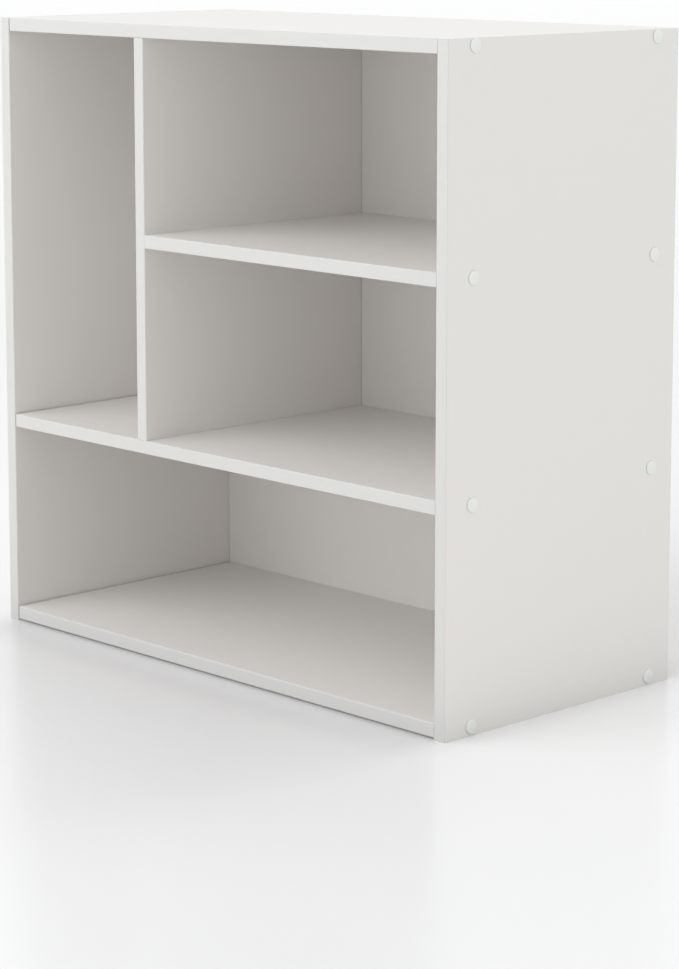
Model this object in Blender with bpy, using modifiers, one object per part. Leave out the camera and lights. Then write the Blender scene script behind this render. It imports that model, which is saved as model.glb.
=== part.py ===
# Shelving unit of white faced boards: two sides, top, bottom, middle shelf, divider, short shelf and a back
# that is held in grooves. Countersunk socket screws under push-in caps pull the joints together, and fluted
# dowels line them up. The front faces -Y, the right side faces +X, and the sides stand on Z = 0.
# Lengths are in metres.

import math

import bmesh
import bpy
from mathutils import Vector

# Overall size
UNIT_WIDTH = 0.598
UNIT_DEPTH = 0.293
UNIT_HEIGHT = 0.5925

# Boards, and the clear spaces between them
BOARD = 0.0126
FLOOR_GAP = 0.0018
BOTTOM_BAY_HEIGHT = 0.180
MIDDLE_BAY_HEIGHT = 0.180
COLUMN_WIDTH = 0.1862

# Edges of the boards: the two long front edges are rounded, the others only broken
FRONT_ROUNDING = 0.0015
ARRIS = 0.0004
ROUNDING_SEGMENTS = 3
SHARP_ANGLE = math.radians(60)

# Back panel and its groove
BACK_THICKNESS = 0.003
GROOVE_DEPTH = 0.004
GROOVE_FROM_REAR = 0.010

# Screw rows, measured along the depth to the screw's axis
SCREW_FROM_FRONT = 0.032
SCREW_FROM_REAR = 0.0285

# Screw: a countersunk head, a plain collar and a shank that tapers to its tip
SCREW_LENGTH = 0.038
HEAD_DIAMETER = 0.0086
HEAD_RIM = 0.0006
HEAD_SINK = 0.0003
COLLAR_DIAMETER = 0.0054
COLLAR_LENGTH = 0.0155
SHANK_DIAMETER = 0.0044
TIP_DIAMETER = 0.002
TIP_LENGTH = 0.003
SOCKET_WIDTH = 0.003
SOCKET_DEPTH = 0.003
SOCKET_SIDES = 6
SCREW_STEPS = 12

# Cap: a low dome that covers the head, with a pin that pushes into the screw's socket
CAP_DIAMETER = 0.0124
CAP_RIM = 0.0007
CAP_CROWN = 0.0012
CAP_PIN_LENGTH = 0.0026
CAP_DOME_POINTS = 3
CAP_STEPS = 20

# Dowel
DOWEL_DIAMETER = 0.006
DOWEL_LENGTH = 0.025
DOWEL_IN_FACE = 0.008
DOWEL_CHAMFER = 0.0008
DOWEL_FLUTES = 8
FLUTE_DEPTH = 0.00025

# Gap between pieces that meet, and how far a cutter runs past a surface that it opens
CLEARANCE = 0.0003
CUT_OVERLAP = 0.001
AXIS_MERGE = 0.00001
SMOOTH_ANGLE = math.radians(40)

# Heights and places that follow from the sizes above
FRONT = -UNIT_DEPTH / 2
REAR = UNIT_DEPTH / 2
INNER = UNIT_WIDTH / 2 - BOARD
BOTTOM_TOP = FLOOR_GAP + BOARD
MIDDLE_LOW = BOTTOM_TOP + BOTTOM_BAY_HEIGHT
MIDDLE_TOP = MIDDLE_LOW + BOARD
SHORT_LOW = MIDDLE_TOP + MIDDLE_BAY_HEIGHT
TOP_LOW = UNIT_HEIGHT - BOARD
DIVIDER_LEFT = -INNER + COLUMN_WIDTH
DIVIDER_RIGHT = DIVIDER_LEFT + BOARD
BACK_FRONT = REAR - GROOVE_FROM_REAR - CLEARANCE - BACK_THICKNESS
SCREW_ROWS = {"front": FRONT + SCREW_FROM_FRONT, "rear": REAR - SCREW_FROM_REAR}
DOWEL_ROW = sum(SCREW_ROWS.values()) / 2

# Joints with no cap above them, which are glued on dowels alone
DOWELLED_JOINTS = ("divider_head",)


def clear_scene():
    for obj in list(bpy.data.objects):
        bpy.data.objects.remove(obj, do_unlink=True)


def new_collection(name):
    collection = bpy.data.collections.new(name)
    bpy.context.scene.collection.children.link(collection)
    return collection


def new_material(name, colour, roughness, metallic=0.0):
    material = bpy.data.materials.new(name)
    material.use_nodes = True
    shader = material.node_tree.nodes["Principled BSDF"]
    shader.inputs["Base Color"].default_value = (*colour, 1.0)
    shader.inputs["Roughness"].default_value = roughness
    shader.inputs["Metallic"].default_value = metallic
    return material


def move_to(obj, collection):
    for old in list(obj.users_collection):
        old.objects.unlink(obj)
    collection.objects.link(obj)


def add_part(obj, material):
    """Puts a finished sub-part in the unit's collection, under the unit's empty."""
    move_to(obj, parts)
    obj.data.materials.clear()
    obj.data.materials.append(material)
    obj.parent = unit
    return obj


def add_cutter(obj):
    move_to(obj, cutters)
    obj.parent = unit
    obj.display_type = "WIRE"
    obj.hide_render = True
    return obj


def add_box(name, low, high):
    """A box between two corners, with its size in its mesh."""
    low, high = Vector(low), Vector(high)
    bpy.ops.mesh.primitive_cube_add(size=1, location=(low + high) / 2)
    box = bpy.context.object
    box.name = name
    box.dimensions = high - low
    bpy.ops.object.transform_apply(location=False, rotation=False, scale=True)
    return box


def cut(obj, cutter):
    modifier = obj.modifiers.new(cutter.name, "BOOLEAN")
    modifier.operation = "DIFFERENCE"
    modifier.solver = "EXACT"
    modifier.object = cutter


def round_edges(board):
    """Rounds the board's two long front edges and breaks its other edges."""
    mesh = board.data
    thickness_axis = min(range(3), key=lambda axis: board.dimensions[axis])
    front = min(vertex.co.y for vertex in mesh.vertices)
    weights = mesh.attributes.new("bevel_weight_edge", "FLOAT", "EDGE")
    for edge in mesh.edges:
        start, end = (mesh.vertices[index].co for index in edge.vertices)
        on_front = max(start.y, end.y) < front + ARRIS
        along_thickness = abs(end[thickness_axis] - start[thickness_axis]) > ARRIS
        weights.data[edge.index].value = float(on_front and not along_thickness)
    rounding = board.modifiers.new("front rounding", "BEVEL")
    rounding.limit_method = "WEIGHT"
    rounding.width = FRONT_ROUNDING
    rounding.segments = ROUNDING_SEGMENTS
    arris = board.modifiers.new("arris", "BEVEL")
    arris.limit_method = "ANGLE"
    arris.angle_limit = SHARP_ANGLE
    arris.width = ARRIS
    arris.segments = 1


def add_board(name, low, high, material):
    board = add_part(add_box(name, low, high), material)
    round_edges(board)
    return board


def make_boards(material):
    """The seven boards, all flush at the front. Shelves and divider stop short of the back panel."""
    shelf_rear = BACK_FRONT - CLEARANCE
    end = INNER - CLEARANCE
    left_end = -end
    boxes = {
        "left_side_panel": ((-UNIT_WIDTH / 2, FRONT, 0), (-INNER, REAR, UNIT_HEIGHT)),
        "right_side_panel": ((INNER, FRONT, 0), (UNIT_WIDTH / 2, REAR, UNIT_HEIGHT)),
        "top_panel": ((left_end, FRONT, TOP_LOW), (end, REAR, UNIT_HEIGHT)),
        "bottom_panel": ((left_end, FRONT, FLOOR_GAP), (end, REAR, BOTTOM_TOP)),
        "middle_shelf": ((left_end, FRONT, MIDDLE_LOW), (end, shelf_rear, MIDDLE_TOP)),
        "divider": (
            (DIVIDER_LEFT, FRONT, MIDDLE_TOP + CLEARANCE),
            (DIVIDER_RIGHT, shelf_rear, TOP_LOW - CLEARANCE),
        ),
        "short_shelf": (
            (DIVIDER_RIGHT + CLEARANCE, FRONT, SHORT_LOW),
            (end, shelf_rear, SHORT_LOW + BOARD),
        ),
    }
    return {name: add_board(name, low, high, material) for name, (low, high) in boxes.items()}


def make_back_panel(boards, material):
    """The back panel stands in one groove that runs round the two sides, the top and the bottom."""
    reach = Vector((INNER, 0, TOP_LOW)) + Vector((1, 0, 1)) * (GROOVE_DEPTH - CLEARANCE)
    low = Vector((-reach.x, BACK_FRONT, BOTTOM_TOP - GROOVE_DEPTH + CLEARANCE))
    high = Vector((reach.x, BACK_FRONT + BACK_THICKNESS, reach.z))
    add_part(add_box("back_panel", low, high), material)
    margin = Vector((CLEARANCE, CLEARANCE, CLEARANCE))
    groove = add_cutter(add_box("groove_space", low - margin, high + margin))
    for name in ("left_side_panel", "right_side_panel", "top_panel", "bottom_panel"):
        cut(boards[name], groove)


def add_turned(name, profile, steps):
    """Turns a profile of (radius, height) points, listed from top to bottom, about Z."""
    mesh = bpy.data.meshes.new(name)
    edges = [(index, index + 1) for index in range(len(profile) - 1)]
    mesh.from_pydata([(radius, 0, height) for radius, height in profile], edges, [])
    obj = bpy.data.objects.new(name, mesh)
    bpy.context.scene.collection.objects.link(obj)
    screw = obj.modifiers.new("turn", "SCREW")
    screw.steps = steps
    screw.render_steps = steps
    screw.use_merge_vertices = True
    screw.merge_threshold = AXIS_MERGE
    return obj


def finished_mesh(obj):
    """The object's mesh with its modifiers applied, which the copies of a repeated piece share."""
    bpy.context.view_layer.update()
    graph = bpy.context.evaluated_depsgraph_get()
    mesh = bpy.data.meshes.new_from_object(obj.evaluated_get(graph))
    mesh.name = obj.name
    mesh.shade_smooth()
    mesh.set_sharp_from_angle(angle=SMOOTH_ANGLE)
    bpy.data.objects.remove(obj, do_unlink=True)
    return mesh


def grown(profile, gap):
    """The turned profile moved outwards by the gap, so that its bore clears the piece all round."""
    points = [Vector(point) for point in profile]
    normals = []
    for start, end in zip(points, points[1:]):
        along = (end - start).normalized()
        normals.append(Vector((-along.y, along.x)))
    moved = []
    for point, before, after in zip(points, [normals[0], *normals], [*normals, normals[-1]]):
        moved.append(point + (before + after) * gap / (1 + before.dot(after)))
    return [tuple(point) for point in moved]


def screw_profile():
    """The screw's outline from the middle of its head to its tip, with the head's top at height 0."""
    head = HEAD_DIAMETER / 2
    collar = COLLAR_DIAMETER / 2
    shank = SHANK_DIAMETER / 2
    return [
        (0, 0),
        (head, 0),
        (head, -HEAD_RIM),
        (collar, -HEAD_RIM - (head - collar)),
        (collar, -COLLAR_LENGTH),
        (shank, -COLLAR_LENGTH - (collar - shank)),
        (shank, TIP_LENGTH - SCREW_LENGTH),
        (TIP_DIAMETER / 2, -SCREW_LENGTH),
        (0, -SCREW_LENGTH),
    ]


def screw_mesh():
    """The screw with its hexagon socket."""
    screw = add_turned("assembly_screw", screw_profile(), SCREW_STEPS)
    mesh = bpy.data.meshes.new("socket_space")
    prism = bmesh.new()
    corner = SOCKET_WIDTH / 2 / math.cos(math.pi / SOCKET_SIDES)
    depth = SOCKET_DEPTH + CUT_OVERLAP
    bmesh.ops.create_cone(
        prism, cap_ends=True, segments=SOCKET_SIDES, radius1=corner, radius2=corner, depth=depth
    )
    bmesh.ops.translate(prism, verts=prism.verts, vec=(0, 0, CUT_OVERLAP - depth / 2))
    prism.to_mesh(mesh)
    prism.free()
    socket = add_cutter(bpy.data.objects.new("socket_space", mesh))
    cut(screw, socket)
    return finished_mesh(screw)


def screw_space_mesh():
    """The stepped and countersunk bore that the screw sits in, open above the head."""
    profile = grown(screw_profile(), CLEARANCE)
    open_top = HEAD_SINK + CUT_OVERLAP
    profile[0] = (0, open_top)
    profile[1] = (profile[1][0], open_top)
    return finished_mesh(add_turned("screw_space", profile, SCREW_STEPS))


def cap_mesh():
    """The cap above the board's face, which is at height 0, with its pin below."""
    radius = CAP_DIAMETER / 2
    pin = SOCKET_WIDTH / 2 - CLEARANCE
    rise = CAP_CROWN - CAP_RIM
    dome_radius = (radius**2 + rise**2) / (2 * rise)
    dome_angle = math.asin(radius / dome_radius)
    profile = []
    for index in range(CAP_DOME_POINTS + 1):
        angle = dome_angle * index / CAP_DOME_POINTS
        drop = dome_radius * (1 - math.cos(angle))
        profile.append((dome_radius * math.sin(angle), CLEARANCE + CAP_CROWN - drop))
    profile += [
        (radius, CLEARANCE),
        (pin, CLEARANCE),
        (pin, -CAP_PIN_LENGTH),
        (0, -CAP_PIN_LENGTH),
    ]
    return finished_mesh(add_turned("screw_cap", profile, CAP_STEPS))


def dowel_mesh():
    """The fluted dowel with chamfered ends. Height 0 is where the two boards meet."""
    mesh = bpy.data.meshes.new("dowel")
    dowel = bmesh.new()
    radius = DOWEL_DIAMETER / 2
    bmesh.ops.create_cone(
        dowel, cap_ends=True, segments=2 * DOWEL_FLUTES, radius1=radius, radius2=radius, depth=DOWEL_LENGTH
    )
    step = math.pi / DOWEL_FLUTES
    for vertex in dowel.verts:
        if round(math.atan2(vertex.co.y, vertex.co.x) / step) % 2:
            vertex.co.xy *= (radius - FLUTE_DEPTH) / radius
    ends = [face for face in dowel.faces if len(face.verts) > 4]
    bmesh.ops.inset_region(dowel, faces=ends, thickness=DOWEL_CHAMFER, use_even_offset=True)
    rim_radius = radius - FLUTE_DEPTH - DOWEL_CHAMFER / 2
    for vertex in dowel.verts:
        if vertex.co.xy.length > rim_radius:
            vertex.co.z -= math.copysign(DOWEL_CHAMFER, vertex.co.z)
    bmesh.ops.translate(dowel, verts=dowel.verts, vec=(0, 0, DOWEL_IN_FACE - DOWEL_LENGTH / 2))
    dowel.to_mesh(mesh)
    dowel.free()
    mesh.shade_smooth()
    mesh.set_sharp_from_angle(angle=SMOOTH_ANGLE)
    return mesh


def dowel_space_mesh():
    """The pair of blind holes that the dowel sits in."""
    radius = DOWEL_DIAMETER / 2 + CLEARANCE
    top = DOWEL_IN_FACE + CLEARANCE
    foot = DOWEL_IN_FACE - DOWEL_LENGTH - CLEARANCE
    profile = [(0, top), (radius, top), (radius, foot), (0, foot)]
    return finished_mesh(add_turned("dowel_space", profile, 2 * DOWEL_FLUTES))


def place(name, mesh, location, outward):
    """A new object with its local Z along outward, the way from the joint to the screw's head."""
    obj = bpy.data.objects.new(name, mesh)
    obj.location = location
    obj.rotation_euler = outward.to_track_quat("Z", "Y").to_euler()
    return obj


def find_joints():
    """Each joint: the board whose face meets it, the board whose end meets it, the direction from the end
    towards the face board, and a point where the two boards meet."""
    top_middle = TOP_LOW + BOARD / 2
    short_middle = SHORT_LOW + BOARD / 2
    middle_middle = MIDDLE_LOW + BOARD / 2
    bottom_middle = FLOOR_GAP + BOARD / 2
    divider_middle = DIVIDER_LEFT + BOARD / 2
    right, left, up, down = Vector((1, 0, 0)), Vector((-1, 0, 0)), Vector((0, 0, 1)), Vector((0, 0, -1))
    return {
        "right_top": ("right_side_panel", "top_panel", right, Vector((INNER, 0, top_middle))),
        "right_short": ("right_side_panel", "short_shelf", right, Vector((INNER, 0, short_middle))),
        "right_middle": ("right_side_panel", "middle_shelf", right, Vector((INNER, 0, middle_middle))),
        "right_bottom": ("right_side_panel", "bottom_panel", right, Vector((INNER, 0, bottom_middle))),
        "left_top": ("left_side_panel", "top_panel", left, Vector((-INNER, 0, top_middle))),
        "left_middle": ("left_side_panel", "middle_shelf", left, Vector((-INNER, 0, middle_middle))),
        "left_bottom": ("left_side_panel", "bottom_panel", left, Vector((-INNER, 0, bottom_middle))),
        "divider_short": ("divider", "short_shelf", left, Vector((DIVIDER_RIGHT, 0, short_middle))),
        "divider_foot": ("middle_shelf", "divider", down, Vector((divider_middle, 0, MIDDLE_TOP))),
        "divider_head": ("top_panel", "divider", up, Vector((divider_middle, 0, TOP_LOW))),
    }


def bore(boards, space):
    """Cuts the space for a screw or a dowel out of both boards that it joins."""
    add_cutter(space)
    for board in boards:
        cut(board, space)


def make_fasteners(boards, steel, plastic, beech):
    """Screws, caps and dowels, each with its bores in the two boards that it joins."""
    screw, screw_space, cap = screw_mesh(), screw_space_mesh(), cap_mesh()
    dowel, dowel_space = dowel_mesh(), dowel_space_mesh()
    for joint, (face_board, end_board, outward, meeting) in find_joints().items():
        joined = (boards[face_board], boards[end_board])
        only_dowels = joint in DOWELLED_JOINTS
        screw_rows = {} if only_dowels else SCREW_ROWS
        dowel_rows = SCREW_ROWS if only_dowels else {"centre": DOWEL_ROW}
        for row, depth in screw_rows.items():
            outer = meeting + outward * BOARD + Vector((0, depth, 0))
            head = outer - outward * HEAD_SINK
            add_part(place(f"screw_{joint}_{row}", screw, head, outward), steel)
            add_part(place(f"cap_{joint}_{row}", cap, outer, outward), plastic)
            bore(joined, place(f"screw_space_{joint}_{row}", screw_space, head, outward))
        for row, depth in dowel_rows.items():
            location = meeting + Vector((0, depth, 0))
            add_part(place(f"dowel_{joint}_{row}", dowel, location, outward), beech)
            bore(joined, place(f"dowel_space_{joint}_{row}", dowel_space, location, outward))


clear_scene()
parts = new_collection("shelving_unit")
cutters = new_collection("cutters")
cutters.hide_render = True
unit = bpy.data.objects.new("shelving_unit_origin", None)
parts.objects.link(unit)

white_facing = new_material("white_facing", (0.80, 0.80, 0.77), 0.45)
back_facing = new_material("back_facing", (0.78, 0.77, 0.74), 0.60)
cap_plastic = new_material("cap_plastic", (0.86, 0.86, 0.83), 0.35)
zinc_steel = new_material("zinc_steel", (0.62, 0.63, 0.65), 0.35, 1.0)
beech_wood = new_material("beech_wood", (0.62, 0.44, 0.27), 0.65)

unit_boards = make_boards(white_facing)
make_back_panel(unit_boards, back_facing)
make_fasteners(unit_boards, zinc_steel, cap_plastic, beech_wood)
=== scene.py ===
import math

import bmesh
import bpy
from mathutils import Matrix, Vector


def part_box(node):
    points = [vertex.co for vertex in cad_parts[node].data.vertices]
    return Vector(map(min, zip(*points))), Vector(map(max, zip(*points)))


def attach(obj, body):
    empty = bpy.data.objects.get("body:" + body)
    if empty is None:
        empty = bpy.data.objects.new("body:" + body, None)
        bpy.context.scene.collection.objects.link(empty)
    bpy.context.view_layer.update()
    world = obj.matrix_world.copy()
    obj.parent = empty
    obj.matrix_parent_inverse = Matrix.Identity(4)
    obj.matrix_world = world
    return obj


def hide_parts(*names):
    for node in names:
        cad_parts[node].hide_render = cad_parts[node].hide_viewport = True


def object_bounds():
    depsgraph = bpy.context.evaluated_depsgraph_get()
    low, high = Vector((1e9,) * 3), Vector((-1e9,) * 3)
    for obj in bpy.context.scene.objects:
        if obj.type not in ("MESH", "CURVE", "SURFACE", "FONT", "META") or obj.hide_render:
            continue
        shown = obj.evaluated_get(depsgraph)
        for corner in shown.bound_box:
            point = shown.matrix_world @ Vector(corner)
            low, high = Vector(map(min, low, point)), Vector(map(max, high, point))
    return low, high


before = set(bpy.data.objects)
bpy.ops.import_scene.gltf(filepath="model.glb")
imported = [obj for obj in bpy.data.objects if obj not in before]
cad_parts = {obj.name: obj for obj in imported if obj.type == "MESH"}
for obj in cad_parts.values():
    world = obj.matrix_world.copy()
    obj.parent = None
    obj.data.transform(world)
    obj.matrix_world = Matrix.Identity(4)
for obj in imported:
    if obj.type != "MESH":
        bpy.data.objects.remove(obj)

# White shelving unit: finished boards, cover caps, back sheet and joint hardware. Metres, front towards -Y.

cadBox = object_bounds()
print("frame loaded,", len(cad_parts), "nodes")


# Camera, at the photograph's viewing angle

camera = {
    "place": (1.9434, -1.8525, 0.7059),
    "turn": 46.09,  # degrees to the left of straight back
    "down": 8.47,  # degrees below the horizon
    "lens": 107.6,  # millimetres
    "shiftY": -0.16,  # the unit stands high in the frame
}


def addCamera():
    turned = (math.radians(90 - camera["down"]), 0, math.radians(camera["turn"]))
    bpy.ops.object.camera_add(location=camera["place"], rotation=turned)
    eye = bpy.context.object
    eye.name = "photoCamera"
    eye.data.lens = camera["lens"]
    eye.data.shift_y = camera["shiftY"]
    bpy.context.scene.camera = eye


addCamera()
bpy.context.scene.view_settings.view_transform = "Standard"
print("camera placed")


# Small helpers for modelling in object and edit mode

near = 0.00001  # closer than this counts as the same place
facing = 0.9  # a normal with more than this along an axis points that way


def deselectAll():
    if bpy.context.object and bpy.context.object.mode != "OBJECT":
        bpy.ops.object.mode_set(mode="OBJECT")
    bpy.ops.object.select_all(action="DESELECT")


def makeActive(piece):
    deselectAll()
    piece.select_set(True)
    bpy.context.view_layer.objects.active = piece


def applyPlace(piece):
    makeActive(piece)
    bpy.ops.object.transform_apply(location=True, rotation=True, scale=True)


def startEdit(piece, kind, test):
    # edit mode, with only the faces or edges that pass the test selected
    makeActive(piece)
    bpy.ops.object.mode_set(mode="EDIT")
    bpy.ops.mesh.select_mode(type=kind)
    bpy.ops.mesh.select_all(action="DESELECT")
    mesh = bmesh.from_edit_mesh(piece.data)
    for item in mesh.edges if kind == "EDGE" else mesh.faces:
        if test(item):
            item.select_set(True)
    bmesh.update_edit_mesh(piece.data)


def endEdit():
    bpy.ops.object.mode_set(mode="OBJECT")


def addModifier(piece, kind, **settings):
    makeActive(piece)
    modifier = piece.modifiers.new(kind.lower(), kind)
    for setting, value in settings.items():
        setattr(modifier, setting, value)
    bpy.ops.object.modifier_apply(modifier=modifier.name)


def addBox(name, low, high):
    deselectAll()
    bpy.ops.mesh.primitive_cube_add(size=1, location=(low + high) / 2, scale=high - low)
    box = bpy.context.object
    box.name = name
    applyPlace(box)
    return box


def addRound(name, rings, sides):
    # a round form along Z: a cone between the first two rings, whose end face is then extruded
    # from ring to ring
    (radius, low), (nextRadius, high) = rings[:2]
    deselectAll()
    middle = (0, 0, (low + high) / 2)
    bpy.ops.mesh.primitive_cone_add(
        vertices=sides, radius1=radius, radius2=nextRadius, depth=high - low, location=middle
    )
    form = bpy.context.object
    form.name = name
    applyPlace(form)
    startEdit(form, "FACE", lambda face: face.normal.z > facing and len(face.verts) == sides)
    radius, height = nextRadius, high
    for nextRadius, nextHeight in rings[2:]:
        rise = {"value": (0, 0, nextHeight - height)}
        bpy.ops.mesh.extrude_region_move(TRANSFORM_OT_translate=rise)
        growth = nextRadius / radius
        bpy.ops.transform.resize(value=(growth, growth, 1), center_override=(0, 0, nextHeight))
        radius, height = nextRadius, nextHeight
    endEdit()
    return form


def copyTo(original, name, place):
    # a copy with its own mesh, moved within that mesh
    piece = original.copy()
    piece.name = name
    piece.data = original.data.copy()
    piece.data.name = name
    piece.data.transform(place)
    bpy.context.scene.collection.objects.link(piece)
    return piece


def smoothShade(piece, degrees):
    makeActive(piece)
    bpy.ops.object.shade_smooth_by_angle(angle=math.radians(degrees))
    addModifier(piece, "WEIGHTED_NORMAL", keep_sharp=True)


# Node helpers


def addNode(tree, kind, **settings):
    node = tree.nodes.new(kind)
    for setting, value in settings.items():
        setattr(node, setting, value)
    return node


def feed(tree, source, socket):
    # links another node's output to a socket, or sets the socket to a number, a vector or a colour
    if isinstance(source, bpy.types.NodeSocket):
        tree.links.new(source, socket)
    elif socket.type == "RGBA":
        socket.default_value = (*source, 1)
    else:
        socket.default_value = source


def newGroup(name, inputs, outputs):
    # a shader node group whose named inputs and outputs are all numbers
    group = bpy.data.node_groups.new(name, "ShaderNodeTree")
    for direction, sockets in (("INPUT", inputs), ("OUTPUT", outputs)):
        for socket in sockets:
            group.interface.new_socket(socket, in_out=direction, socket_type="NodeSocketFloat")
    start = addNode(group, "NodeGroupInput")
    end = addNode(group, "NodeGroupOutput")
    return group, start.outputs, end.inputs


def useGroup(tree, group, values):
    node = addNode(tree, "ShaderNodeGroup", node_tree=group)
    for socket, value in values.items():
        feed(tree, value, node.inputs[socket])
    return node.outputs


def newMaterial(name, roughness, metallic=0.0):
    material = bpy.data.materials.new(name)
    material.use_nodes = True
    tree = material.node_tree
    shader = tree.nodes["Principled BSDF"]
    feed(tree, roughness, shader.inputs["Roughness"])
    feed(tree, metallic, shader.inputs["Metallic"])
    return material, tree, shader


def addNoise(tree, scale, detail, stretch=None):
    # noise on the piece's own coordinates, drawn out along an axis where a stretch is given
    place = addNode(tree, "ShaderNodeTexCoord").outputs["Object"]
    if stretch:
        mapping = addNode(tree, "ShaderNodeMapping")
        feed(tree, stretch, mapping.inputs["Scale"])
        feed(tree, place, mapping.inputs["Vector"])
        place = mapping.outputs["Vector"]
    noise = addNode(tree, "ShaderNodeTexNoise")
    feed(tree, scale, noise.inputs["Scale"])
    feed(tree, detail, noise.inputs["Detail"])
    feed(tree, place, noise.inputs["Vector"])
    return noise.outputs["Fac"]


def addMath(tree, kind, operation, *values):
    # one step of the Math or the VectorMath node
    step = addNode(tree, "ShaderNode" + kind, operation=operation)
    for value, socket in zip(values, step.inputs):
        feed(tree, value, socket)
    return next(output for output in step.outputs if output.enabled)


def addMix(tree, kind, factor, first, second):
    # goes from the first to the second as the factor goes from 0 to 1; the kind is FLOAT or RGBA
    mix = addNode(tree, "ShaderNodeMix", data_type=kind)
    for socket, source in (("Factor", factor), ("A", first), ("B", second)):
        feed(tree, source, mix.inputs[socket])
    return mix.outputs["Result"]


def addRange(tree, value, results, limits=(0.0, 1.0), course="LINEAR"):
    # goes from the first result to the second as the value goes from the first limit to the second
    ranged = addNode(tree, "ShaderNodeMapRange", interpolation_type=course)
    feed(tree, value, ranged.inputs["Value"])
    for socket, number in zip(("From Min", "From Max", "To Min", "To Max"), (*limits, *results)):
        feed(tree, number, ranged.inputs[socket])
    return ranged.outputs["Result"]


def addRamp(tree, value, colours):
    # an even ramp from the first colour to the last
    ramp = addNode(tree, "ShaderNodeValToRGB")
    stops = ramp.color_ramp.elements
    while len(stops) < len(colours):
        stops.new(0.5)  # moved to its own place below
    for index, colour in enumerate(colours):
        stops[index].position = index / (len(colours) - 1)
        stops[index].color = (*colour, 1)
    feed(tree, value, ramp.inputs["Fac"])
    return ramp.outputs["Color"]


def addBump(tree, shader, height, depth):
    bump = addNode(tree, "ShaderNodeBump")
    for socket, source in (("Strength", 1.0), ("Distance", depth), ("Height", height)):
        feed(tree, source, bump.inputs[socket])
    feed(tree, bump.outputs["Normal"], shader.inputs["Normal"])


# White finishes: facing, edge strip (its colour darkened as painted shade on the front faces), painted
# sheet and plastic

films = {
    "whiteFacing": {"colour": (0.823, 0.792, 0.778), "roughness": 0.42, "pearlScale": 1100.0},
    # the edge strip is a real finish, but its colour is darker than the facing's as painted shade on the
    # front faces
    "edgeStripPaintedShade": {"colour": (0.66, 0.64, 0.638), "roughness": 0.36, "pearlScale": 700.0},
    "backPaint": {"colour": (0.803, 0.772, 0.758), "roughness": 0.5, "pearlScale": 500.0},
    "capPlastic": {"colour": (0.85, 0.845, 0.82), "roughness": 0.3, "pearlScale": 1500.0},
}
# what the four have in common
filmTexture = {
    "pearlDetail": 1.0,
    "pearlDepth": 0.000002,
    "cloudScale": 5.0,
    "cloudDetail": 3.0,
    "cloudShade": 0.01,  # how much darker than its colour a film gets
    "cloudGloss": 0.05,  # how far to each side its roughness goes
}


def makePressedGroup():
    # pressed film: a fine pearl in the surface, and a broad cloudiness in colour and gloss
    group, start, end = newGroup("pressedFilm", ("Pearl Scale", "Cloud Scale"), ("Height", "Cloud"))
    pearl = addNoise(group, start["Pearl Scale"], filmTexture["pearlDetail"])
    cloud = addNoise(group, start["Cloud Scale"], filmTexture["cloudDetail"])
    feed(group, pearl, end["Height"])
    feed(group, cloud, end["Cloud"])
    return group


pressedFilm = makePressedGroup()


def filmMaterial(name):
    film = films[name]
    material, tree, shader = newMaterial(name, film["roughness"])
    scales = {"Pearl Scale": film["pearlScale"], "Cloud Scale": filmTexture["cloudScale"]}
    texture = useGroup(tree, pressedFilm, scales)
    dark = [part - filmTexture["cloudShade"] for part in film["colour"]]
    colour = addMix(tree, "RGBA", texture["Cloud"], dark, film["colour"])
    feed(tree, colour, shader.inputs["Base Color"])
    spread = filmTexture["cloudGloss"]
    gloss = addRange(tree, texture["Cloud"], (film["roughness"] - spread, film["roughness"] + spread))
    feed(tree, gloss, shader.inputs["Roughness"])
    addBump(tree, shader, texture["Height"], filmTexture["pearlDepth"])
    return material


whiteFacing = filmMaterial("whiteFacing")
edgeStripPaintedShade = filmMaterial("edgeStripPaintedShade")
backPaint = filmMaterial("backPaint")
capPlastic = filmMaterial("capPlastic")


# Bare wood: pressed chips and fibres where a board or the back sheet isn't faced, and beech for the dowels

mottle = {
    "dustDetail": 3.0,
    "dustShare": 0.4,  # in the tone, beside the particle's own
}


def makeMottleGroup():
    # a ragged mottle of particles, each a little lighter or darker, with the relief between them
    group, start, end = newGroup("particleMottle", ("Particle Scale", "Dust Scale"), ("Tone", "Height"))
    cells = addNode(group, "ShaderNodeTexVoronoi")
    feed(group, addNode(group, "ShaderNodeTexCoord").outputs["Object"], cells.inputs["Vector"])
    feed(group, start["Particle Scale"], cells.inputs["Scale"])
    shades = addNode(group, "ShaderNodeSeparateColor")
    feed(group, cells.outputs["Color"], shades.inputs["Color"])
    dust = addNoise(group, start["Dust Scale"], mottle["dustDetail"])
    tone = addMix(group, "FLOAT", mottle["dustShare"], shades.outputs["Red"], dust)
    feed(group, tone, end["Tone"])
    feed(group, addMath(group, "Math", "ADD", tone, cells.outputs["Distance"]), end["Height"])
    return group


particleMottle = makeMottleGroup()

woods = {
    "rawChipboard": {
        "colours": ((0.25, 0.15, 0.08), (0.50, 0.33, 0.18), (0.62, 0.45, 0.27)),
        "roughness": 0.85,
        "particles": 700.0,
        "dust": 3500.0,
        "relief": 0.00015,
    },
    "rawFibreboard": {
        "colours": ((0.26, 0.16, 0.09), (0.31, 0.20, 0.115), (0.36, 0.24, 0.145)),
        "roughness": 0.75,
        "particles": 2200.0,
        "dust": 9000.0,
        "relief": 0.00003,
    },
}
beech = {
    "colours": ((0.50, 0.32, 0.17), (0.64, 0.43, 0.25), (0.70, 0.49, 0.30)),
    "roughness": 0.6,
    "grainScale": 900.0,
    "grainDetail": 4.0,
    "grainStretch": 0.06,  # along the dowel
    "relief": 0.00002,
}


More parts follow.
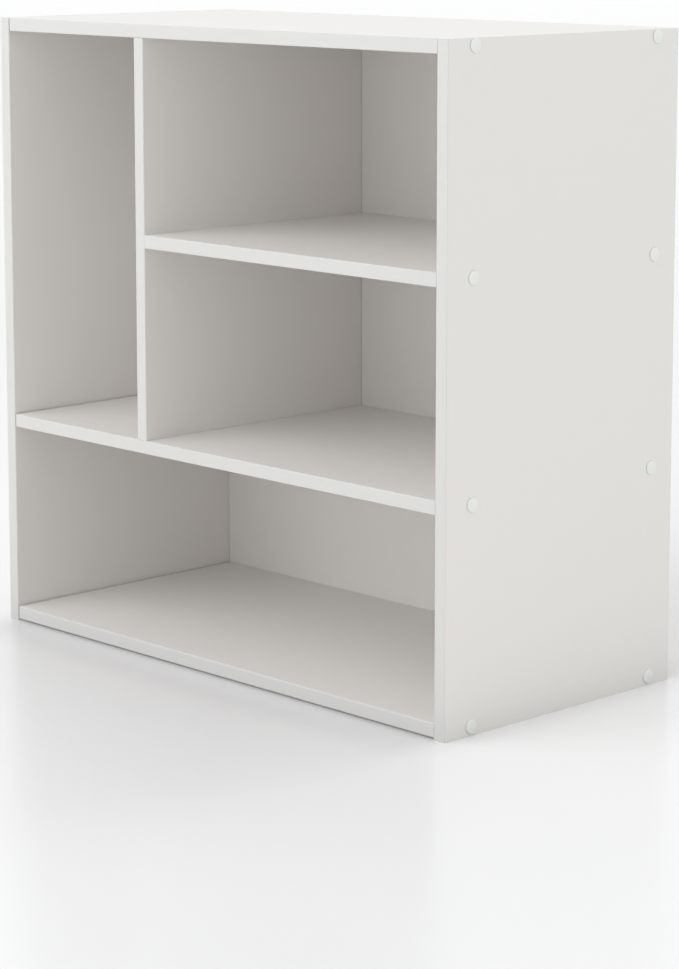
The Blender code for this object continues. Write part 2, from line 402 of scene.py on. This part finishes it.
def woodMaterial(name):
    wood = woods[name]
    material, tree, shader = newMaterial(name, wood["roughness"])
    scales = {"Particle Scale": wood["particles"], "Dust Scale": wood["dust"]}
    texture = useGroup(tree, particleMottle, scales)
    feed(tree, addRamp(tree, texture["Tone"], wood["colours"]), shader.inputs["Base Color"])
    addBump(tree, shader, texture["Height"], wood["relief"])
    return material


def beechMaterial(name, grainAxis):
    material, tree, shader = newMaterial(name, beech["roughness"])
    stretch = [1, 1, 1]
    stretch[grainAxis] = beech["grainStretch"]
    grain = addNoise(tree, beech["grainScale"], beech["grainDetail"], stretch)
    feed(tree, addRamp(tree, grain, beech["colours"]), shader.inputs["Base Color"])
    addBump(tree, shader, grain, beech["relief"])
    return material


rawChipboard = woodMaterial("rawChipboard")
rawFibreboard = woodMaterial("rawFibreboard")
# by the axis that the dowel lies along
beechGrains = {0: beechMaterial("beechAcross", 0), 2: beechMaterial("beechUpright", 2)}


# Zinc-plated steel for the screws

zinc = {
    "colours": ((0.55, 0.56, 0.58), (0.66, 0.67, 0.68), (0.74, 0.74, 0.73)),
    "roughness": (0.26, 0.42),
    "bloomScale": 350.0,
    "bloomDetail": 4.0,
    "grainScale": 4000.0,
    "grainDetail": 2.0,
    "relief": 0.000004,
}


def makeZincSteel():
    material, tree, shader = newMaterial("zincSteel", zinc["roughness"][0], metallic=1.0)
    bloom = addNoise(tree, zinc["bloomScale"], zinc["bloomDetail"])
    feed(tree, addRamp(tree, bloom, zinc["colours"]), shader.inputs["Base Color"])
    feed(tree, addRange(tree, bloom, zinc["roughness"]), shader.inputs["Roughness"])
    addBump(tree, shader, addNoise(tree, zinc["grainScale"], zinc["grainDetail"]), zinc["relief"])
    return material


zincSteel = makeZincSteel()
print("finishes made")


# Joints: where each cap, screw and dowel stands, with its local Z pointing out of the joint

outwards = {
    "right": Vector((1, 0, 0)),
    "left": Vector((-1, 0, 0)),
    "divider_short": Vector((-1, 0, 0)),
    "divider_foot": Vector((0, 0, -1)),
    "divider_head": Vector((0, 0, 1)),
}


def nodesOf(kind):
    return [node for node in sorted(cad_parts) if node.startswith(kind + "_")]


def outwardOf(node):
    joint = node.split("_", 1)[1]
    return next(way for start, way in outwards.items() if joint.startswith(start))


def fixingPlace(node, outerEnd):
    # stands a form on the node's axis, so that its height outerEnd lies at the node's outer end
    low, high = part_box(node)
    outward = outwardOf(node)
    half = (high - low).dot(Vector(map(abs, outward))) / 2
    seat = (low + high) / 2 + outward * (half - outerEnd)
    return Matrix.Translation(seat) @ outward.to_track_quat("Z", "Y").to_matrix().to_4x4()


# Screws: a countersunk head with a hexagon socket, a plain collar and a threaded shank

screw = {
    "headRadius": 0.0043,
    "rim": 0.0006,  # height of the head's straight edge
    "rimChamfer": 0.0001,
    "collarRadius": 0.0027,
    "collarLength": 0.0155,  # from the top of the head
    "crestRadius": 0.0022,
    "rootRadius": 0.0015,
    "pitch": 0.0022,
    "ringsPerPitch": 10,
    "runOut": 0.0015,  # length over which the thread fades at each end
    "tipRadius": 0.001,
    "tipLength": 0.003,
    "length": 0.038,
    "socketWidth": 0.003,  # across flats
    "socketDepth": 0.003,
    "sides": 32,
    "smoothTo": 35,  # degrees
}


def shankSpan():
    # from the tip to where the shank widens into the collar
    low = screw["tipLength"] - screw["length"]
    high = -screw["collarLength"] - (screw["collarRadius"] - screw["crestRadius"])
    return low, high


def screwRings():
    head, collar, crest = screw["headRadius"], screw["collarRadius"], screw["crestRadius"]
    rings = [(screw["tipRadius"], -screw["length"])]
    # the shank is closely ringed, for the thread to be cut in it
    low, high = shankSpan()
    count = round((high - low) / screw["pitch"] * screw["ringsPerPitch"])
    rings += [(crest, low + (high - low) * step / count) for step in range(count + 1)]
    rings += [(collar, -screw["collarLength"]), (collar, collar - head - screw["rim"])]
    rings += [(head, -screw["rim"]), (head, -screw["rimChamfer"]), (head - screw["rimChamfer"], 0)]
    return rings


def wave(angle):
    # 0 at angle 0, and 1 half a turn on
    return 0.5 - 0.5 * math.cos(angle)


def cutThread(piece):
    # between crest and root the shank follows a helix, which runs out at both ends
    low, high = shankSpan()
    depth = 1 - screw["rootRadius"] / screw["crestRadius"]
    for vertex in piece.data.vertices:
        point = vertex.co
        if low - near < point.z < high + near:
            turn = math.atan2(point.y, point.x) / math.tau
            cut = math.sqrt(wave(math.tau * (point.z / screw["pitch"] - turn)))
            fade = min(1, (point.z - low) / screw["runOut"], (high - point.z) / screw["runOut"])
            shrink = 1 - depth * cut * max(0, fade)
            point.x, point.y = point.x * shrink, point.y * shrink


def addScrewMaster():
    master = addRound("screwMaster", screwRings(), screw["sides"])
    cutThread(master)
    # the socket is cut by a hexagon that is centred on the top of the head
    deselectAll()
    corner = screw["socketWidth"] / math.sqrt(3)
    bpy.ops.mesh.primitive_cylinder_add(vertices=6, radius=corner, depth=2 * screw["socketDepth"])
    hexagon = bpy.context.object
    addModifier(master, "BOOLEAN", operation="DIFFERENCE", solver="EXACT", object=hexagon)
    bpy.data.objects.remove(hexagon)
    master.data.materials.clear()
    master.data.materials.append(zincSteel)
    smoothShade(master, screw["smoothTo"])
    return master


def addScrews():
    master = addScrewMaster()
    for node in nodesOf("screw"):
        piece = copyTo(master, node.replace("screw_", "socketScrew_"), fixingPlace(node, 0))
        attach(piece, "root")
        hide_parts(node)
    bpy.data.objects.remove(master)


addScrews()
print("screws made")


# Dowels: round fluted pins with eased ends

dowel = {
    "radius": 0.003,
    "length": 0.025,
    "chamfer": 0.0008,
    "chamferBend": (0.3, 0.4),  # where its slope changes, inwards and down, in shares of it
    "flutes": 8,
    "fluteDepth": 0.00025,
    "sides": 64,
    "smoothTo": 40,
}


def dowelRings():
    radius, end, chamfer = dowel["radius"], dowel["length"] / 2, dowel["chamfer"]
    inwards, down = dowel["chamferBend"]
    bend = (radius - inwards * chamfer, end - down * chamfer)
    upper = [(radius, end - chamfer), bend, (radius - chamfer, end)]
    return [(ring, -height) for ring, height in reversed(upper)] + upper


def addDowels():
    master = addRound("dowelMaster", dowelRings(), dowel["sides"])
    for vertex in master.data.vertices:
        point = vertex.co
        cut = wave(dowel["flutes"] * math.atan2(point.y, point.x))
        shrink = 1 - cut * dowel["fluteDepth"] / dowel["radius"]
        point.x, point.y = point.x * shrink, point.y * shrink
    smoothShade(master, dowel["smoothTo"])
    for node in nodesOf("dowel"):
        place = fixingPlace(node, dowel["length"] / 2)
        piece = copyTo(master, node.replace("dowel_", "flutedDowel_"), place)
        outward = outwardOf(node)
        grainAxis = max(range(3), key=lambda axis: abs(outward[axis]))
        piece.data.materials.clear()
        piece.data.materials.append(beechGrains[grainAxis])
        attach(piece, "root")
        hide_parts(node)
    bpy.data.objects.remove(master)


addDowels()
print("dowels made")


# Cover caps: modelled once with the face of the board at height 0, then one for each screw

cap = {
    "radius": 0.0062,
    "gap": 0.0003,  # under the rim
    "rimHeight": 0.0007,
    "crownHeight": 0.0012,  # from the same underside
    "rimRounding": 0.0003,
    "roundingSteps": 4,
    "domeSteps": 6,
    "pinRadius": 0.0012,
    "pinChamfer": 0.0003,
    "pinLength": 0.0026,  # below the board's face
    "sides": 64,
    "smoothTo": 35,
}


def capRings():
    pin, foot = cap["pinRadius"], -cap["pinLength"]
    rings = [(pin - cap["pinChamfer"], foot), (pin, foot + cap["pinChamfer"]), (pin, cap["gap"])]
    rings.append((cap["radius"], cap["gap"]))
    # a quarter round at the rim, then a low dome
    rounding = cap["rimRounding"]
    top = cap["gap"] + cap["rimHeight"]
    for step in range(cap["roundingSteps"] + 1):
        angle = math.pi / 2 * step / cap["roundingSteps"]
        inset = rounding * (1 - math.cos(angle))
        rings.append((cap["radius"] - inset, top - rounding + rounding * math.sin(angle)))
    edge = cap["radius"] - rounding
    rise = cap["crownHeight"] - cap["rimHeight"]
    for step in range(1, cap["domeSteps"]):
        share = 1 - step / cap["domeSteps"]
        rings.append((edge * share, top + rise * (1 - share * share)))
    return rings


def addCaps():
    master = addRound("capMaster", capRings(), cap["sides"])
    master.data.materials.append(capPlastic)
    smoothShade(master, cap["smoothTo"])
    for node in nodesOf("cap"):
        place = fixingPlace(node, cap["gap"] + cap["crownHeight"])
        piece = copyTo(master, node.replace("cap_", "coverCap_"), place)
        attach(piece, "root")
        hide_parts(node)
    bpy.data.objects.remove(master)


addCaps()
print("caps made")


# Boards: a box at about the node's size, front edges rounded, the others broken, then bored and grooved

board = {
    "rounding": 0.0008,
    "roundingSegments": 4,
    "arris": 0.0002,
    "arrisSegments": 2,
    "sharpFrom": 60,  # degrees between the faces of an edge, from which its arris is broken
    "smoothTo": 40,
    "stripDepth": 0.001,  # of the edge strip, seen at its ends
    "stripTurn": 60,  # degrees from straight front, as far as the edge strip covers the rounding
    "drawnUp": 0.00027,  # how much further a tight end reaches than its node's, drawn up by its screws
    "heldBack": 0.0013,  # how far an end with a gap falls short of its node's
    "grooveGap": 0.0003,
}
# ends are given as (axis, side), with side 0 for the low one
leftEnd, rightEnd, rearEnd, footEnd, headEnd = (0, 0), (0, 1), (1, 1), (2, 0), (2, 1)
# a long board sits tight at the right and leaves a fine gap at the left
longBoard = {"bareEnds": (leftEnd, rightEnd), "tightEnds": (rightEnd,), "gapEnds": (leftEnd,)}
sideBoard = {"bareEnds": (footEnd,), "tightEnds": (), "gapEnds": ()}
boardPieces = {
    "leftSide": {"node": "left_side_panel", **sideBoard},
    "rightSide": {"node": "right_side_panel", **sideBoard},
    "topBoard": {"node": "top_panel", **longBoard},
    "bottomBoard": {"node": "bottom_panel", **longBoard},
    "middleShelf": {"node": "middle_shelf", **longBoard},
    "dividerBoard": {
        "node": "divider",
        "bareEnds": (footEnd, headEnd),
        "tightEnds": (footEnd, headEnd),
        "gapEnds": (),
    },
    "shortShelf": {
        "node": "short_shelf",
        "bareEnds": (leftEnd, rightEnd),
        "tightEnds": (leftEnd, rightEnd),
        "gapEnds": (),
    },
}
grooved = ("leftSide", "rightSide", "topBoard", "bottomBoard")

# the spaces that screws and dowels sit in
bore = {
    "gap": 0.0003,
    "past": 0.002,  # how far a screw's space goes on past its head
    "sides": 32,
}


def screwSpaceRings():
    # the screw's outline grown by the gap, with its steps half as much lower, and open past its head
    gap = bore["gap"]
    head, collar, crest = (screw[part] + gap for part in ("headRadius", "collarRadius", "crestRadius"))
    low, high = shankSpan()
    steps = [
        (crest, low),
        (crest, high),
        (collar, -screw["collarLength"]),
        (collar, collar - head - screw["rim"]),
        (head, -screw["rim"]),
    ]
    rings = [(screw["tipRadius"] + gap, -screw["length"] - gap)]
    rings += [(radius, height - gap / 2) for radius, height in steps]
    return rings + [(head, bore["past"])]


def addSpaces():
    # every space that a screw or a dowel sits in, as one cutter
    middle = dowel["length"] / 2
    radius, end = dowel["radius"] + bore["gap"], middle + bore["gap"]
    forms = {
        "screw": (screwSpaceRings(), 0),
        "dowel": ([(radius, -end), (radius, end)], middle),
    }
    spaces = []
    for kind, (rings, outerEnd) in forms.items():
        master = addRound("spaceMaster", rings, bore["sides"])
        spaces += [copyTo(master, "space", fixingPlace(node, outerEnd)) for node in nodesOf(kind)]
        bpy.data.objects.remove(master)
    deselectAll()
    for space in spaces:
        space.select_set(True)
    bpy.context.view_layer.objects.active = spaces[0]
    bpy.ops.object.join()
    return spaces[0]


def addBoard(name, spaces, groove):
    node = boardPieces[name]["node"]
    low, high = (corner.copy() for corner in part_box(node))
    for ends, reach in (("tightEnds", board["drawnUp"]), ("gapEnds", -board["heldBack"])):
        for axis, side in boardPieces[name][ends]:
            (low, high)[side][axis] += (-1, 1)[side] * reach
    size = high - low
    thin = min(range(3), key=lambda axis: size[axis])
    piece = addBox(name, low, high)

    def longFrontEdge(edge):
        start, end = (vertex.co for vertex in edge.verts)
        onFront = max(start.y, end.y) < low.y + near
        return onFront and abs(start[thin] - end[thin]) < near

    # a seam all round, where the edge strip ends, then the rounding
    startEdit(piece, "FACE", lambda face: True)
    bpy.ops.mesh.bisect(plane_co=low + Vector((0, board["stripDepth"], 0)), plane_no=(0, 1, 0))
    endEdit()
    startEdit(piece, "EDGE", longFrontEdge)
    bpy.ops.mesh.bevel(offset=board["rounding"], segments=board["roundingSegments"], affect="EDGES")
    endEdit()
    sharp = {"limit_method": "ANGLE", "angle_limit": math.radians(board["sharpFrom"])}
    addModifier(piece, "BEVEL", width=board["arris"], segments=board["arrisSegments"], **sharp)
    addModifier(piece, "BOOLEAN", operation="DIFFERENCE", solver="EXACT", object=spaces)
    if name in grooved:
        addModifier(piece, "BOOLEAN", operation="DIFFERENCE", solver="EXACT", object=groove)
    finishFaces(piece, low, high, boardPieces[name]["bareEnds"])
    smoothShade(piece, board["smoothTo"])
    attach(piece, "root")
    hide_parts(node)


def finishFaces(piece, low, high, bareEnds):
    # edge strip at the front, with its ends, in a colour darkened as painted shade; bare board at the rear,
    # at the hidden ends and in every cut; facing on the rest
    finishes = (whiteFacing, edgeStripPaintedShade, rawChipboard)
    piece.data.materials.clear()
    for finish in finishes:
        piece.data.materials.append(finish)
    stripLimit = -math.cos(math.radians(board["stripTurn"]))
    bareSides = (rearEnd, *bareEnds)
    for face in piece.data.polygons:
        centre = face.center
        # a face in a cut lies below the board's surface, and away from its edges
        depths = sorted(min(centre[axis] - low[axis], high[axis] - centre[axis]) for axis in range(3))
        isCut = depths[0] > near and depths[1] > board["rounding"]
        isBare = any(abs(centre[axis] - (low, high)[side][axis]) < near for axis, side in bareSides)
        finish = rawChipboard if isCut or isBare else whiteFacing
        if centre.y < low.y + board["stripDepth"] and (isBare or face.normal.y < stripLimit):
            finish = edgeStripPaintedShade
        face.material_index = finishes.index(finish)


def addBoards():
    low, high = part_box("back_panel")
    margin = Vector((1, 1, 1)) * board["grooveGap"]
    groove = addBox("groove", low - margin, high + margin)
    spaces = addSpaces()
    for name in boardPieces:
        addBoard(name, spaces, groove)
    bpy.data.objects.remove(spaces)
    bpy.data.objects.remove(groove)


addBoards()
print("boards made")


# Back sheet, painted on its front face

back = {"arris": 0.0002, "arrisSegments": 2, "smoothTo": 40}


def addBack():
    low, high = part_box("back_panel")
    piece = addBox("backSheet", low, high)
    addModifier(piece, "BEVEL", width=back["arris"], segments=back["arrisSegments"])
    piece.data.materials.append(backPaint)
    piece.data.materials.append(rawFibreboard)
    for face in piece.data.polygons:
        face.material_index = int(face.center.y > low.y + near)
    smoothShade(piece, back["smoothTo"])
    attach(piece, "root")
    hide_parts("back_panel")


addBack()
print("back made")


# Floor, world and lamps: a white studio, with painted shade on the floor around the unit's foot and painted
# light in the gap under the bottom board

floor = {
    "size": 60.0,
    # colours at the unit's foot and away from it, as the camera sees them and as they light the unit, and
    # how far inside the unit's box the foot's colour starts; the darker foot colours are painted shade: a
    # painted shadow on the floor for the camera, and a darker bounce that paints shade onto the unit's
    # lower parts
    "seen": {"foot": (0.754, 0.735, 0.757), "away": (0.902, 0.88, 0.9), "inset": (0.04, 0.0, 0.0)},
    "bounced": {"foot": (0.513, 0.51, 0.495), "away": (0.889, 0.89, 0.858), "inset": (0.0, 0.0, 0.0)},
    "paintedShadeWidth": 0.08,  # how far out the painted shade fades
    "roughness": 0.22,
    # the camera sees the floor lifted towards white: the lift goes from its first value at the nearer limit
    # to its second at the farther one, both measured from the unit
    "lift": (0.0, 0.12),
    "liftLimits": (0.05, 5.0),
    # a further lift, for the floor between the sides, which shows in the gap under the bottom board:
    # painted light that the camera alone sees, lightening the shade in that gap
    "under": {"lift": (0.1, 0.0), "limits": (0.0, 0.0005), "inset": (0.014, 0.0, 0.0)},
}


def addFootDistance(tree, inset):
    # how far a point of the floor lies from the unit's footprint, drawn in by the inset
    low, high = cadBox
    place = addNode(tree, "ShaderNodeTexCoord").outputs["Object"]
    offset = addMath(tree, "VectorMath", "SUBTRACT", place, (low + high) / 2)
    reach = addMath(tree, "VectorMath", "ABSOLUTE", offset)
    beyond = addMath(tree, "VectorMath", "SUBTRACT", reach, (high - low) / 2 - Vector(inset))
    outside = addMath(tree, "VectorMath", "MAXIMUM", beyond, (0, 0, 0))
    return addMath(tree, "VectorMath", "LENGTH", outside)


def addFloor():
    deselectAll()
    bpy.ops.mesh.primitive_plane_add(size=floor["size"])
    plane = bpy.context.object
    plane.name = "studioFloor"
    material, tree, shader = newMaterial("studioFloor", floor["roughness"])
    isSeen = addNode(tree, "ShaderNodeLightPath").outputs["Is Camera Ray"]
    distances = {kind: addFootDistance(tree, floor[kind]["inset"]) for kind in ("bounced", "seen", "under")}
    # one colour for the light that the floor gives back, and one for the camera, each darker near the
    # unit's foot as painted shade
    colours = []
    for kind in ("bounced", "seen"):
        away = addRange(tree, distances[kind], (0.0, 1.0), (0.0, floor["paintedShadeWidth"]), "SMOOTHSTEP")
        colours.append(addMix(tree, "RGBA", away, floor[kind]["foot"], floor[kind]["away"]))
    feed(tree, addMix(tree, "RGBA", isSeen, *colours), shader.inputs["Base Color"])
    under = floor["under"]
    farLift = addRange(tree, distances["seen"], floor["lift"], floor["liftLimits"], "SMOOTHSTEP")
    paintedGapLight = addRange(tree, distances["under"], under["lift"], under["limits"], "SMOOTHSTEP")
    # the glow that the camera sees: the lift towards white far off, plus the painted light in the gap under
    # the bottom board
    lift = addMath(tree, "Math", "ADD", farLift, paintedGapLight)
    feed(tree, (1, 1, 1), shader.inputs["Emission Color"])
    feed(tree, addMath(tree, "Math", "MULTIPLY", isSeen, lift), shader.inputs["Emission Strength"])
    plane.data.materials.append(material)


world = {"light": (0.771, 0.795, 0.787), "seen": (1.0, 1.0, 1.0)}


def addWorld():
    # an even white light, seen as plain white by the camera and in reflections
    sky = bpy.data.worlds.new("studioWorld")
    bpy.context.scene.world = sky
    sky.use_nodes = True
    tree = sky.node_tree
    path = addNode(tree, "ShaderNodeLightPath").outputs
    isSeen = addMath(tree, "Math", "MAXIMUM", path["Is Camera Ray"], path["Is Glossy Ray"])
    colour = addMix(tree, "RGBA", isSeen, world["light"], world["seen"])
    feed(tree, colour, tree.nodes["Background"].inputs["Color"])


lamps = {
    "frontLeft": {"place": (-1.8, -2.2, 1.6), "size": (2.0, 2.0), "watts": 19.0},
    "frontHigh": {"place": (0.0, -2.0, 2.6), "size": (2.0, 2.0), "watts": 15.0},
    "lowFront": {"place": (-0.3, -2.6, 0.45), "size": (2.4, 0.7), "watts": 8.1},
    "right": {"place": (3.0, 0.5, 1.3), "size": (2.0, 2.0), "watts": 11.2},
    "rearTop": {"place": (0.5, 2.2, 2.4), "size": (0.8, 0.8), "watts": 7.4},
}
lampColour = (0.97, 1.0, 0.985)
lampTarget = Vector((0, 0, 0.3))  # about the unit's middle


def addLamps():
    for name, lamp in lamps.items():
        place = Vector(lamp["place"])
        turned = (place - lampTarget).to_track_quat("Z", "Y").to_euler()
        bpy.ops.object.light_add(type="AREA", location=place, rotation=turned)
        made = bpy.context.object
        made.name = name
        made.visible_camera = False
        made.data.shape = "RECTANGLE"
        made.data.size, made.data.size_y = lamp["size"]
        made.data.energy = lamp["watts"]
        made.data.color = lampColour


addFloor()
addWorld()
addLamps()
print("studio made")
